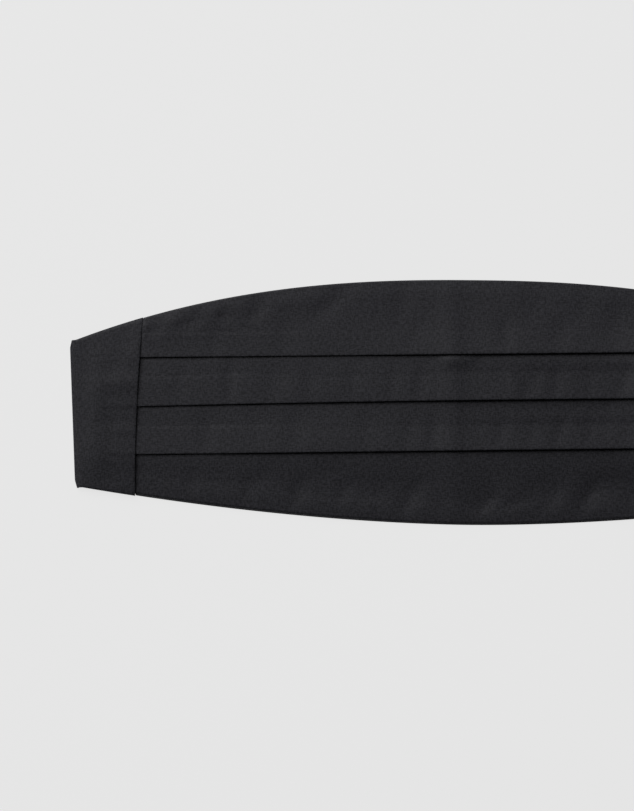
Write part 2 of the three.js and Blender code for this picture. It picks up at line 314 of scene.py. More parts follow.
CREASES = (
    # band, x, y, lean, length, width, depth
    # the fold down the middle, from the box it was kept in
    (None, -10.5, 0.0, 0.0, 190.0, 6.5, 0.50),
    (None, -7.5, 0.0, 0.0, 190.0, 1.6, 0.07),
    (None, 26.0, 0.0, 0.0, 190.0, 14.0, 0.12),
    # top band
    (0, -163.0, 41.5, 55.0, 14.0, 4.0, -0.46),
    (0, -144.5, 44.5, 64.0, 20.0, 4.2, -0.56),
    (0, -128.0, 46.5, 40.0, 11.0, 4.0, -0.46),
    (0, -111.0, 50.0, 32.0, 16.0, 4.5, -0.52),
    (0, -73.0, 52.0, 50.0, 34.0, 5.0, -0.40),
    (0, -96.0, 36.0, 8.0, 30.0, 7.0, -0.30),
    (0, -134.0, 31.0, -4.0, 18.0, 4.0, -0.22),
    (0, -36.0, 50.0, 6.0, 30.0, 5.0, -0.30),
    (0, -28.0, 37.0, 12.0, 22.0, 5.0, -0.26),
    (0, 18.0, 36.0, -4.0, 22.0, 4.0, -0.35),
    (0, 33.0, 50.0, 20.0, 26.0, 7.0, -0.25),
    (0, 46.0, 35.0, 6.0, 20.0, 5.5, -0.28),
    (0, 59.0, 50.0, 10.0, 26.0, 5.0, -0.22),
    (0, 76.0, 42.0, 22.0, 30.0, 7.0, -0.28),
    (0, 97.0, 43.0, 12.0, 28.0, 6.5, -0.30),
    (0, 120.0, 38.0, 38.0, 30.0, 5.5, -0.35),
    (0, 141.0, 42.0, 50.0, 24.0, 5.0, -0.40),
    (0, 160.0, 33.0, 15.0, 18.0, 5.0, -0.30),
    (0, -154.0, 46.0, 77.0, 90.0, 11.0, 0.85),
    # second band
    (1, -80.0, 4.0, 90.0, 130.0, 12.0, 0.50),
    (1, -152.0, 10.0, 6.0, 26.0, 4.5, -0.22),
    (1, -126.0, 10.0, 0.0, 28.0, 3.2, -0.42),
    (1, -103.0, 9.0, 4.0, 26.0, 7.0, -0.40),
    (1, -84.0, 9.0, -2.0, 24.0, 5.0, -0.30),
    (1, -62.0, 9.0, 3.0, 28.0, 4.5, -0.22),
    (1, -41.0, 9.0, 5.0, 26.0, 4.0, -0.25),
    (1, -27.0, 9.0, 10.0, 26.0, 3.5, -0.28),
    (1, -7.0, 22.5, 88.0, 20.0, 4.0, 0.70),
    (1, 60.0, 20.5, 90.5, 160.0, 4.0, 0.34),
    (1, 21.5, 11.0, -18.0, 18.0, 1.8, 0.34),
    (1, 31.0, 9.0, 20.0, 22.0, 3.5, -0.26),
    (1, 44.0, 10.0, 10.0, 24.0, 3.0, -0.30),
    (1, 61.0, 9.0, 4.0, 24.0, 4.0, -0.24),
    (1, 79.0, 10.0, 18.0, 24.0, 3.5, -0.28),
    (1, 104.0, 9.0, 8.0, 26.0, 5.0, -0.30),
    (1, 129.0, 10.0, -6.0, 26.0, 4.0, -0.24),
    (1, 151.0, 9.0, 10.0, 26.0, 4.5, -0.24),
    # third band
    (2, -77.0, -22.0, 90.0, 130.0, 13.0, 0.62),
    (2, -138.0, -15.0, 3.0, 26.0, 5.0, -0.34),
    (2, -112.0, -15.0, -3.0, 24.0, 5.5, -0.18),
    (2, -92.0, -15.0, 4.0, 26.0, 6.0, -0.34),
    (2, -55.0, -15.0, 4.0, 26.0, 5.5, -0.24),
    (2, -33.0, -15.0, 8.0, 24.0, 4.0, -0.24),
    (2, -20.0, -15.0, 6.0, 24.0, 3.5, -0.26),
    (2, 45.0, -8.5, 90.0, 120.0, 3.0, 0.15),
    (2, 15.0, -15.0, 8.0, 22.0, 3.2, -0.30),
    (2, 31.0, -16.0, 12.0, 20.0, 3.5, -0.24),
    (2, 46.0, -15.0, 16.0, 24.0, 3.2, -0.32),
    (2, 61.0, -15.0, 4.0, 24.0, 3.0, -0.26),
    (2, 75.0, -14.0, 6.0, 24.0, 4.0, 0.28),
    (2, 98.0, -15.0, 14.0, 24.0, 4.5, -0.26),
    (2, 121.0, -15.0, 2.0, 24.0, 5.0, -0.24),
    (2, 149.0, -15.0, 9.0, 24.0, 5.0, -0.24),
    # bottom band: it sinks in above the hem, and the hem puckers it
    (3, 104.0, -45.0, 88.0, 100.0, 8.5, -0.60),
    (3, 70.0, -44.0, 80.0, 34.0, 7.0, -0.45),
    (3, 37.0, -45.5, 72.0, 26.0, 6.5, -0.50),
    (3, 2.0, -50.0, 62.0, 30.0, 8.0, -0.45),
    (3, -1.0, -40.0, 6.0, 40.0, 6.0, 0.22),
    (3, -45.0, -46.0, 70.0, 34.0, 7.5, -0.40),
    (3, -74.0, -35.0, 84.0, 22.0, 5.0, -0.26),
    (3, -107.0, -36.0, 60.0, 14.0, 5.0, -0.22),
    (3, -78.0, -46.0, 82.0, 80.0, 6.0, -0.12),
    (3, -146.0, -40.0, 16.0, 20.0, 4.0, -0.24),
    (3, -116.0, -44.0, 14.0, 22.0, 4.0, -0.32),
    (3, -91.0, -46.0, 18.0, 24.0, 4.2, -0.44),
    (3, -67.0, -46.0, 26.0, 18.0, 3.8, -0.36),
    (3, -54.0, -54.0, 30.0, 14.0, 4.0, 0.20),
    (3, -33.0, -50.0, 30.0, 26.0, 4.8, -0.66),
    (3, -15.0, -53.0, 20.0, 18.0, 3.4, -0.15),
    (3, 7.0, -53.0, 48.0, 20.0, 4.0, -0.52),
    (3, 20.0, -53.5, 66.0, 22.0, 3.4, -0.30),
    (3, 40.0, -52.0, 36.0, 22.0, 4.0, -0.38),
    (3, 60.0, -50.0, 34.0, 26.0, 4.6, -0.58),
    (3, 84.0, -51.0, 44.0, 22.0, 5.2, -0.36),
    (3, 102.0, -48.0, 40.0, 26.0, 4.4, -0.45),
    (3, 123.0, -46.0, 30.0, 24.0, 4.0, -0.40),
    (3, 142.0, -44.0, 42.0, 20.0, 4.0, -0.36),
    (3, 160.0, -41.0, 24.0, 16.0, 3.6, -0.30),
    # end panels
    ("left", -188.5, 0.0, 0.0, 120.0, 4.5, -0.22),
    ("left", -196.5, -6.0, 2.0, 84.0, 5.0, 0.36),
    ("left", -181.0, 12.5, 90.0, 34.0, 5.0, 0.50),
    ("left", -180.0, 0.3, 90.0, 24.0, 1.2, 0.15),
    ("left", -180.0, -1.7, 90.0, 24.0, 1.2, -0.15),
    ("left", -180.5, -12.6, 90.0, 30.0, 2.6, 0.22),
    ("left", -180.0, -24.7, 91.0, 24.0, 1.2, 0.13),
    ("left", -180.0, -26.6, 91.0, 24.0, 1.2, -0.14),
    ("left", -180.0, -44.0, 84.0, 30.0, 7.0, 0.35),
    ("left", -180.0, 36.0, 92.0, 24.0, 1.3, 0.05),
    ("left", -182.0, 30.0, 6.0, 24.0, 5.0, -0.26),
    ("right", 187.5, 0.0, 0.0, 110.0, 4.5, -0.20),
    ("right", 196.0, -8.0, -3.0, 66.0, 5.0, 0.22),
    ("right", 178.5, 11.0, 92.0, 20.0, 4.0, 0.18),
    ("right", 179.5, 0.4, 90.0, 20.0, 1.3, 0.07),
    ("right", 179.5, -1.9, 90.0, 20.0, 1.3, -0.08),
    ("right", 179.0, -13.0, 88.0, 18.0, 2.8, 0.12),
    ("right", 179.0, -24.6, 90.0, 20.0, 1.3, 0.07),
    ("right", 179.0, -26.5, 90.0, 20.0, 1.3, -0.07),
    ("right", 180.0, 31.0, -10.0, 22.0, 5.0, -0.20),
)


def crease_height(x, y, band):
    height = 0.0
    for on, middle_x, middle_y, lean, length, width, depth in CREASES:
        if on is not None and on != band:
            continue
        dx, dy = x - middle_x, y - middle_y
        reach = length / 2 + CREASE_REACH * width
        if abs(dx) > reach or abs(dy) > reach:
            continue
        a = math.radians(lean)
        across = dx * math.cos(a) - dy * math.sin(a)
        along = dx * math.sin(a) + dy * math.cos(a)
        fade = 1 - smoothstep(abs(along), *(length * share for share in CREASE_FADE))
        height += depth * math.exp(-((across / width) ** 2)) * fade
    return height * CREASE_DEPTH


# ---------------------------------------------------------------------------------------------
# Settings


class CummerbundClothSettings(bpy.types.PropertyGroup):
    # The two satin colours below are painted shade in the hollows of the weave and painted sheen on
    # its long floats, laid over the slubs' random tone.
    satin_hollow_shade: FloatVectorProperty(
        name="Satin, dark threads", description="Colour in the hollows of the weave",
        subtype="COLOR_GAMMA", size=3, min=0, max=1, default=(0.132, 0.131, 0.143),
    )
    satin_float_sheen: FloatVectorProperty(
        name="Satin, light threads", description="Colour of the long floats",
        subtype="COLOR_GAMMA", size=3, min=0, max=1, default=(0.206, 0.205, 0.221),
    )
    satin_roughness: FloatProperty(
        name="Roughness", description="Roughness of the satin's sheen",
        min=0, max=1, default=0.5, subtype="FACTOR",
    )
    satin_specular: FloatProperty(
        name="Sheen level", description="How strongly the satin reflects",
        min=0, max=1, default=0.12, subtype="FACTOR",
    )
    slub_spacing: FloatProperty(
        name="Slub spacing", description="Distance between the slubs that show in the weave",
        min=0.0002, max=0.005, default=0.0007, unit="LENGTH",
    )
    weave_depth: FloatProperty(
        name="Weave depth", description="Relief of the weave",
        min=0, max=0.001, default=0.00004, precision=5, unit="LENGTH",
    )
    press_depth: FloatProperty(
        name="Pressing", description="Relief of the soft unevenness that pressing leaves",
        min=0, max=0.002, default=0.0001, precision=5, unit="LENGTH",
    )
    cloth: FloatProperty(
        name="Cloth", description="Thickness of the satin with its interlining",
        min=0.0002, max=0.001, default=CLOTH * MM, precision=4, unit="LENGTH",
    )


class CummerbundStrapSettings(bpy.types.PropertyGroup):
    elastic: FloatVectorProperty(
        name="Elastic", description="Colour of the strap's elastic",
        subtype="COLOR_GAMMA", size=3, min=0, max=1, default=(0.075, 0.075, 0.080),
    )
    thickness: FloatProperty(
        name="Elastic thickness", description="Thickness of the strap's elastic",
        min=0.0005, max=0.0015, default=0.0009, precision=4, unit="LENGTH",
    )
    enamel: FloatVectorProperty(
        name="Enamel", description="Colour of the hook's enamel",
        subtype="COLOR_GAMMA", size=3, min=0, max=1, default=(0.10, 0.10, 0.105),
    )


class CummerbundStageSettings(bpy.types.PropertyGroup):
    floor: FloatVectorProperty(
        name="Floor", description="Colour of the light through the floor",
        subtype="COLOR_GAMMA", size=3, min=0, max=1, default=(0.90, 0.90, 0.90),
    )
    floor_surface: FloatVectorProperty(
        name="Floor surface", description="Colour that the floor's surface scatters by itself",
        subtype="COLOR_GAMMA", size=3, min=0, max=1, default=(0.30, 0.30, 0.30),
    )
    floor_glow: FloatProperty(
        name="Floor glow", description="Light that comes through the floor, which thins shadows",
        min=0, max=2, default=0.945,
    )
    key_light: FloatProperty(
        name="Key light", description="Watts of the soft light past the top edge, on the left",
        min=0, max=1000, default=56.5,
    )
    sky: FloatProperty(
        name="Surround", description="Strength of the even light from all sides",
        min=0, max=5, default=0.03,
    )


# ---------------------------------------------------------------------------------------------
# Materials


def to_linear(c):
    return c / 12.92 if c <= 0.04045 else ((c + 0.055) / 1.055) ** 2.4


def linear(colour):
    """An sRGB hex value, or three sRGB shares of a setting, as linear RGBA."""
    if isinstance(colour, str):
        colour = [int(colour[i : i + 2], 16) / 255 for i in (1, 3, 5)]
    return [to_linear(c) for c in colour] + [1.0]


def add_node(material, kind, settings=(), links=()):
    """Adds a node of that kind, sets its properties and sockets, and feeds the sockets in links."""
    node = material.node_tree.nodes.new("ShaderNode" + kind)
    for name, value in dict(settings).items():
        if isinstance(name, int) or name in node.inputs:
            node.inputs[name].default_value = value
        else:
            setattr(node, name, value)
    for name, socket in dict(links).items():
        material.node_tree.links.new(socket, node.inputs[name])
    return node


def new_material(name):
    material = bpy.data.materials.new(name)
    material.use_nodes = True
    material.node_tree.nodes.clear()
    return material


def stretched_noise(m, coords, scale, detail=2.0):
    """Noise whose features measure 1 / scale millimetres along each axis."""
    at = add_node(m, "Mapping", {"Scale": scale}, {"Vector": coords})
    return add_node(m, "TexNoise", {"Scale": 1.0, "Detail": detail}, {"Vector": at.outputs[0]})


def two_tone(m, fac, dark, light, low=0.35, high=0.65):
    ramp = add_node(m, "ValToRGB", links={"Fac": fac})
    for element, position, colour in zip(ramp.color_ramp.elements, (low, high), (dark, light)):
        element.position = position
        element.color = linear(colour)
    return ramp.outputs["Color"]


SLUB_STRETCH = 0.35  # its width over its length
PRESSING = (0.16, 0.06, 1)  # unevennesses in a millimetre, along the warp and the weft


def satin_material(name, s, turn=0.0):
    """Silk satin in five-end weave, dyed black, with a fused interlining. Its long floats give a
    soft sheen that is broken up by slubs, and pressing leaves it faintly uneven."""
    m = new_material(name)
    uv = add_node(m, "TexCoord").outputs["UV"]
    mm = add_node(
        m, "Mapping", {"Scale": (1 / MM,) * 3, "Rotation": (0, 0, turn)}, {"Vector": uv}
    ).outputs[0]
    # Threads lie 0.1 mm apart, too fine to show, so slubs of several threads are drawn instead.
    slub = MM / s.slub_spacing
    warp = stretched_noise(m, mm, (slub, slub * SLUB_STRETCH, 1)).outputs["Fac"]
    weft = stretched_noise(m, mm, (slub * SLUB_STRETCH, slub, 1)).outputs["Fac"]
    weave = add_node(m, "Math", {"operation": "ADD"}, {0: warp, 1: weft}).outputs[0]
    pressed = stretched_noise(m, mm, PRESSING).outputs["Fac"]
    average = add_node(m, "Math", {"operation": "MULTIPLY", 1: 0.5}, {0: weave}).outputs[0]
    # The colour follows the same slub noise as the weave's relief. It is darker in the relief's
    # hollows, which is painted shade, and lighter on the floats, which is painted sheen, over the
    # slubs' random tone.
    colour = two_tone(m, average, s.satin_hollow_shade, s.satin_float_sheen, 0.4, 0.6)
    fine = add_node(m, "Bump", {"Distance": s.weave_depth}, {"Height": weave}).outputs[0]
    soft = add_node(
        m, "Bump", {"Distance": s.press_depth}, {"Height": pressed, "Normal": fine}
    ).outputs[0]
    shader = add_node(
        m, "BsdfPrincipled",
        {
            "Roughness": s.satin_roughness, "IOR": 1.5, "Specular IOR Level": s.satin_specular,
            "Sheen Weight": 0.03, "Sheen Roughness": 0.4,
        },
        {"Base Color": colour, "Normal": soft},
    )
    add_node(m, "OutputMaterial", links={"Surface": shader.outputs[0]})
    return m


RIB, PICK = 1.6, 0.7  # distances between the elastic's ribs and between its picks
WAVE = math.pi / 10  # a wave texture of this scale repeats every unit


def elastic_material(name, s):
    """Woven elastic: black polyester over rubber cores. Matt, ribbed lengthways where the cores
    run, with fine picks across."""
    m = new_material(name)
    uv = add_node(m, "TexCoord").outputs["UV"]
    mm = add_node(m, "Mapping", {"Scale": (1 / MM,) * 3}, {"Vector": uv}).outputs[0]
    ribs = add_node(
        m, "TexWave", {"bands_direction": "Y", "Scale": WAVE / RIB}, {"Vector": mm}
    ).outputs["Fac"]
    picks = add_node(
        m, "TexWave", {"bands_direction": "X", "Scale": WAVE / PICK, "Distortion": 1.5},
        {"Vector": mm},
    ).outputs["Fac"]
    small = add_node(m, "Math", {"operation": "MULTIPLY", 1: 0.35}, {0: picks}).outputs[0]
    relief = add_node(m, "Math", {"operation": "ADD"}, {0: ribs, 1: small}).outputs[0]
    # The rib colour is painted shade: lighter on the ribs' tops and darker in the grooves between
    # them, following their relief.
    light = [min(1.0, c * 1.5) for c in s.elastic]
    colour = two_tone(m, ribs, s.elastic, light, 0.2, 0.9)
    bump = add_node(m, "Bump", {"Distance": 0.00012}, {"Height": relief}).outputs[0]
    shader = add_node(
        m, "BsdfPrincipled",
        {"Roughness": 0.75, "IOR": 1.5, "Specular IOR Level": 0.3, "Sheen Weight": 0.15},
        {"Base Color": colour, "Normal": bump},
    )
    add_node(m, "OutputMaterial", links={"Surface": shader.outputs[0]})
    return m


def enamel_material(name, s):
    """Stamped steel under stoved black enamel: smooth, half glossy, with a faint orange peel."""
    m = new_material(name)
    at = add_node(m, "TexCoord").outputs["Object"]
    peel = add_node(m, "TexNoise", {"Scale": 1400.0, "Detail": 1.0}, {"Vector": at}).outputs["Fac"]
    bump = add_node(m, "Bump", {"Distance": 0.00001}, {"Height": peel}).outputs[0]
    shader = add_node(
        m, "BsdfPrincipled",
        {
            "Base Color": linear(s.enamel), "Roughness": 0.32, "IOR": 1.5,
            "Coat Weight": 0.5, "Coat Roughness": 0.15,
        },
        {"Normal": bump},
    )
    add_node(m, "OutputMaterial", links={"Surface": shader.outputs[0]})
    return m


def thread_material(name):
    """Spun polyester sewing thread, black, twisted, with a dull shine."""
    m = new_material(name)
    at = add_node(m, "TexCoord").outputs["Object"]
    twist = add_node(
        m, "TexWave", {"bands_direction": "DIAGONAL", "Scale": 900.0}, {"Vector": at}
    ).outputs["Fac"]
    bump = add_node(m, "Bump", {"Distance": 0.00003}, {"Height": twist}).outputs[0]
    shader = add_node(
        m, "BsdfPrincipled",
        {"Base Color": linear("#19191b"), "Roughness": 0.55, "IOR": 1.5},
        {"Normal": bump},
    )
    add_node(m, "OutputMaterial", links={"Surface": shader.outputs[0]})
    return m


def floor_material(s):
    """Opal acrylic board, lit from behind so that shadows on it stay thin."""
    m = new_material("opal acrylic board")
    shader = add_node(
        m, "BsdfPrincipled",
        {
            "Base Color": linear(s.floor_surface), "Roughness": 0.9, "Specular IOR Level": 0.0,
            "Emission Color": linear(s.floor), "Emission Strength": s.floor_glow,
        },
    )
    add_node(m, "OutputMaterial", links={"Surface": shader.outputs[0]})
    return m


# ---------------------------------------------------------------------------------------------
# Building pieces


def finish_piece(bm, name, material, wall=0.0):
    """Brings a mesh from millimetres to metres and lets it ride on the one body."""
    bmesh.ops.scale(bm, vec=(MM, MM, MM), verts=bm.verts)
    mesh = bpy.data.meshes.new(name)
    bm.to_mesh(mesh)
    bm.free()
    mesh.shade_smooth()
    mesh.materials.append(material)
    piece = bpy.data.objects.new(name, mesh)
    bpy.context.scene.collection.objects.link(piece)
    if wall:
        shell = piece.modifiers.new("wall", "SOLIDIFY")
        shell.thickness = wall
        shell.offset = 0.0
    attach(piece, "root")
    return piece


def cut_and_fold(columns, rows, flat, folded):
    """A sheet of cloth with a UV map in metres over its flat cut, folded into place. flat gives
    each grid point's place on the cut, and folded its place in the garment."""
    bm = bmesh.new()
    bmesh.ops.create_grid(bm, x_segments=columns - 1, y_segments=rows - 1, size=1.0)
    places = [
        (round((v.co.x + 1) / 2 * (columns - 1)), round((1 - v.co.y) / 2 * (rows - 1)))
        for v in bm.verts
    ]
    for vert, place in zip(bm.verts, places):
        vert.co = (*flat(*place), 0.0)
    uv = bm.loops.layers.uv.new("cloth")
    for face in bm.faces:
        for loop in face.loops:
            loop[uv].uv = loop.vert.co.xy * MM
    for vert, place in zip(bm.verts, places):
        vert.co = folded(*place)
    return bm


def front_stations(count=186):
    last = 1 - TRIM_START / SEAM_X
    past = SEAM_ALLOWANCE / SEAM_X
    inner = [lerp(-last, last, k / count) for k in range(count + 1)]
    return [-1 - past, -1 - past / 2, -1.0, *inner, 1.0, 1 + past / 2, 1 + past]


class CUMMERBUND_OT_front(bpy.types.Operator):
    """Cuts the satin front and folds its pleats and hems"""

    bl_idname = "cummerbund.front"
    bl_label = "Pleated front"

    def execute(self, context):
        s = context.scene.cummerbund_cloth
        stations = front_stations()
        sections = [front_section(u) for u in stations]
        lengths = [section.lengths() for section in sections]

        def flat(column, row):
            y = sections[column].points[row][0]
            return station_x(stations[column], y), lengths[column][row]

        def folded(column, row):
            section = sections[column]
            y, z = section.points[row]
            x = station_x(stations[column], y)
            crease = crease_height(x, y, section.band(row))
            return Vector((x, y, max(z + lift(x, y) + crease, CLOTH / 2)))

        bm = cut_and_fold(len(stations), len(sections[0].points), flat, folded)
        front = finish_piece(bm, "front_cloth", satin_material("black silk satin", s), s.cloth)
        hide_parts("pleated_front")
        return {"FINISHED"}


PANEL_PROUD = 0.3  # past the front's top and bottom edges
PANEL_SEAM_OUT, PANEL_END_OUT = 0.22, 0.45  # past the seam line and the end
PANEL_FALL_START, PANEL_FALL_END = 14.0, 33.0  # from the seam
PANEL_LOW = 3.05  # top of the panel where it lies over the strap's sewn end
PANEL_BRIDGE = 6.0  # it stays level this far past the highest cloth
PANEL_SMOOTH = 9  # and slopes over twice this
PANEL_MARGIN = 0.5  # it is lifted up to this far from the edges
PANEL_SPAN = 60  # past the highest and the lowest point of any panel
PANEL_GRID = (64, 26)  # pieces of its face across and along
FACE_INSET = 0.6  # of the plain face from the edges
PANEL_CLEAR = 0.65  # from the top of the pleats to the middle of its face
PANEL_FLOOR = CLOTH / 2 + 0.02  # middle of its turned edges
CORNER_ROUND = {"top": 3.4, "bottom": 3.6}  # of the two outer corners

# How a panel's edges turn under, from the raw edge of the turned part up to the face: how far in
# from the edge, what share of the way up to the face, and how far off that.
TURNED_EDGE = (
    # inset, share, off
    (5.0, 0.0, 0.0),
    (3.0, 0.0, 0.0),
    (1.2, 0.0, 0.0),
    (0.45, 0.0, 0.05),
    (0.25, 0.0, 0.3),
    (0.25, 1.0, -0.4),
    (0.35, 1.0, -0.15),
    (0.6, 1.0, -0.03),
)
END_TURN = 1.2  # the end's turned part is this short, clear of the strap
# inset and off of the end's broader rounding
END_ROUND = ((0.25, -1.4), (0.8, -1.0), (1.5, -0.68), (2.4, -0.38), (3.4, -0.16), (4.8, 0.0))
SEAM_EDGE = (
    # inset, share, off
    (5.5, 1.0, -0.42),
    (3.5, 1.0, -0.42),
    (1.5, 1.0, -0.42),
    (0.5, 1.0, -0.42),
    (0.3, 1.0, -0.36),
    (0.22, 1.0, -0.21),
    (0.28, 1.0, -0.06),
    (0.5, 1.0, 0.0),
)


def panel_stops(pieces, first, last):
    """The rows of a panel's grid: those of both turned edges, with the plain face in between.
    Each is share of the way across, inset from the first edge, inset from the last, and the
    share and offset of its height."""
    rows = [(0.0, inset, 0.0, share, off) for inset, share, off in first]
    rows += [(k / pieces, FACE_INSET, FACE_INSET, 1.0, 0.0) for k in range(1, pieces)]
    rows += [(1.0, 0.0, inset, share, off) for inset, share, off in reversed(last)]
    return rows


def path_lengths(points, start):
    """How far along a line of points each one is from the point at start."""
    total = [0.0]
    for a, b in zip(points, points[1:]):
        total.append(total[-1] + (b - a).length)
    return [t - total[start] for t in total]


class PanelShape:
    """Where the points of one end panel lie."""

    def __init__(self, side):
        self.side = side
        seams = [front_section(side), front_section(side * (1 + SEAM_ALLOWANCE / SEAM_X))]
        self.heights = {}
        around = range(-PANEL_SMOOTH, PANEL_SMOOTH + 1)
        weights = [PANEL_SMOOTH + 1 - abs(d) for d in around]
        for y in range(-PANEL_SPAN, PANEL_SPAN + 1):
            tops = [max(s.top_at(y + d, PANEL_BRIDGE) for s in seams) for d in around]
            self.heights[y] = sum(w * t for w, t in zip(weights, tops)) / sum(weights)
        end_edge = [(min(i, END_TURN), share, off) for i, share, off in TURNED_EDGE if share == 0]
        end_edge += [(inset, 1.0, off) for inset, off in END_ROUND]
        self.across = panel_stops(PANEL_GRID[0], TURNED_EDGE, TURNED_EDGE)
        self.along = panel_stops(PANEL_GRID[1], SEAM_EDGE, end_edge)
        self.lay_flat()

    def stack(self, y):
        """Top of the pleated cloth under the panel at y."""
        low = math.floor(min(max(y, 1 - PANEL_SPAN), PANEL_SPAN - 1))
        return lerp(self.heights[low], self.heights[low + 1], min(max(y - low, 0.0), 1.0))

    def face(self, x, y):
        """Middle of the cloth on the panel's face."""
        from_seam = abs(x - station_x(self.side, y))
        over_pleats = self.stack(y) + lift(x, y, PANEL_MARGIN) + PANEL_CLEAR
        ease = smoothstep(from_seam, PANEL_FALL_START, PANEL_FALL_END)
        crease = crease_height(x, y, "left" if self.side < 0 else "right")
        return lerp(over_pleats, PANEL_LOW - CLOTH / 2, ease) + crease

    def outline_point(self, row, column):
        """X, Y of a grid point, and its share and offset of height."""
        y_share, from_top, from_bottom, up_across, off_across = self.across[column]
        x_share, from_seam, from_end, up_along, off_along = self.along[row]
        x, y = self.side * SEAM_X, 0.0
        for _ in range(4):
            top = top_edge(x) + PANEL_PROUD - from_top
            bottom = bottom_edge(x) - PANEL_PROUD + from_bottom
            y = lerp(top, bottom, y_share)
            seam = station_x(self.side, y) + self.side * (from_seam - PANEL_SEAM_OUT)
            end = end_x(self.side, y) - self.side * (from_end - PANEL_END_OUT)
            x = lerp(seam, end, x_share)
        return x, y, min(up_across, up_along), min(off_across, off_along)

    def rounded(self, x, y):
        """Draws the two outer corners in to a quarter circle."""
        near_top = y > STRAP_Y
        radius = CORNER_ROUND["top" if near_top else "bottom"]
        edge = top_edge(x) + PANEL_PROUD if near_top else bottom_edge(x) - PANEL_PROUD
        in_x = radius - abs(end_x(self.side, y) - x)
        in_y = radius - abs(edge - y)
        if in_x <= 0 or in_y <= 0:
            return x, y
        shrink = max(in_x, in_y) / math.hypot(in_x, in_y) - 1
        return x + self.side * in_x * shrink, y + math.copysign(in_y * shrink, edge)

    def lay_flat(self):
        """Measures the cut over the folded cloth: along each line of its grid, from the line
        down the middle and from the one beside the seam."""
        rows, columns = len(self.along), len(self.across)
        grid = [[self.folded(row, column) for column in range(columns)] for row in range(rows)]
        self.x_flat = [path_lengths(line, len(SEAM_EDGE)) for line in zip(*grid)]
        self.y_flat = [path_lengths(line, columns // 2) for line in grid]

    def flat(self, row, column):
        return self.side * self.x_flat[column][row], -self.y_flat[row][column]

    def folded(self, row, column):
        x, y, up, off = self.outline_point(row, column)
        face = self.face(x, y)
        x, y = self.rounded(x, y)
        return Vector((x, y, max(lerp(PANEL_FLOOR, face, up) + off, PANEL_FLOOR)))


class CUMMERBUND_OT_end_panels(bpy.types.Operator):
    """Makes the two plain satin panels over the ends of the front"""

    bl_idname = "cummerbund.end_panels"
    bl_label = "End panels"

    def execute(self, context):
        s = context.scene.cummerbund_cloth
        material = satin_material("black silk satin, cut across", s, turn=math.pi / 2)
        for side, name in ((-1, "left"), (1, "right")):
            shape = PanelShape(side)
            bm = cut_and_fold(len(shape.along), len(shape.across), shape.flat, shape.folded)
            bmesh.ops.recalc_face_normals(bm, faces=bm.faces)
            panel = finish_piece(bm, f"panel_{name}_cloth", material, s.cloth)
            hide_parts(f"end_panel_{name}")
        return {"FINISHED"}


# ---------------------------------------------------------------------------------------------
# The waist strap and its hook

BAR, LOOP_EASE, LOOP_SLOPE, LOOP_TAIL = 3.0, 0.1, 6.0, 22.0
LOOP_FLAT = 1.0  # past the hook's edge, before the loop's tail slopes down
ELASTIC = 1.0  # room for the elastic's thickness
STRAP_ROWS = 13
STRAP_END_GAP = 1.8  # from the end of the garment to the strap's sewn end
STRAP_Z = (0.5, 1.8, 3.1)  # middle of the elastic in the layers of its loop


def strap_section(side):
    rim = min(abs(end_x(side, STRAP_Y + d * STRAP_WIDTH / 2)) for d in (-1, 1))
    low, middle, high = STRAP_Z
    hook_edge = HOOK_LENGTH / 2
    s = Section(abs(side * (rim - STRAP_END_GAP) - HOOK_X), low, wall=ELASTIC)
    s.run(hook_edge - BAR, low, 60 if side < 0 else 16)
    s.turn(hook_edge - BAR - LOOP_EASE - (high - low + ELASTIC) / 2, -1, high, 12)
    s.run(hook_edge + LOOP_FLAT, high, 3)
    s.run(hook_edge + LOOP_FLAT + LOOP_SLOPE, middle, 6)
    s.run(hook_edge + LOOP_TAIL, middle, 10)
    return s


BOX_START, BOX_MARGIN, BOX_INSET = 9.0, 2.0, 2.5  # from the hook, the tail's end and the sides
STITCH_Z = (0.1, STRAP_Z[1] + 0.45)  # under and over the two layers


def box_stitches(bm, side, length=3.0, gap=0.9, radius=0.16):
    """A box of stitches through a loop's tail, each stitch a short rounded bar."""
    near, far = HOOK_LENGTH / 2 + BOX_START, HOOK_LENGTH / 2 + LOOP_TAIL - BOX_MARGIN
    half = STRAP_WIDTH / 2 - BOX_INSET
    corners = [(near, -half), (far, -half), (far, half), (near, half)]
    diagonals = [(corners[0], corners[2]), (corners[1], corners[3])]
    runs = [*zip(corners, corners[1:] + corners[:1]), *diagonals]
    for (p0, q0), (p1, q1) in runs:
        distance = math.hypot(p1 - p0, q1 - q0)
        count = max(2, round(distance / (length + gap)))
        for k in range(count):
            t = (k + 0.5) / count
            x = HOOK_X + side * lerp(p0, p1, t)
            y = STRAP_Y + lerp(q0, q1, t)
            turn = math.atan2(q1 - q0, side * (p1 - p0))
            for z in STITCH_Z:
                add_stitch(bm, Vector((x, y, z)), turn, distance / count - gap, radius)


def add_stitch(bm, at, turn, length, radius):
    made = bmesh.ops.create_uvsphere(bm, u_segments=6, v_segments=5, radius=radius)["verts"]
    bmesh.ops.scale(bm, vec=(length / radius / 2, 1, 0.7), verts=made)
    bmesh.ops.rotate(bm, matrix=Matrix.Rotation(turn, 3, "Z"), verts=made)
    bmesh.ops.translate(bm, vec=at, verts=made)


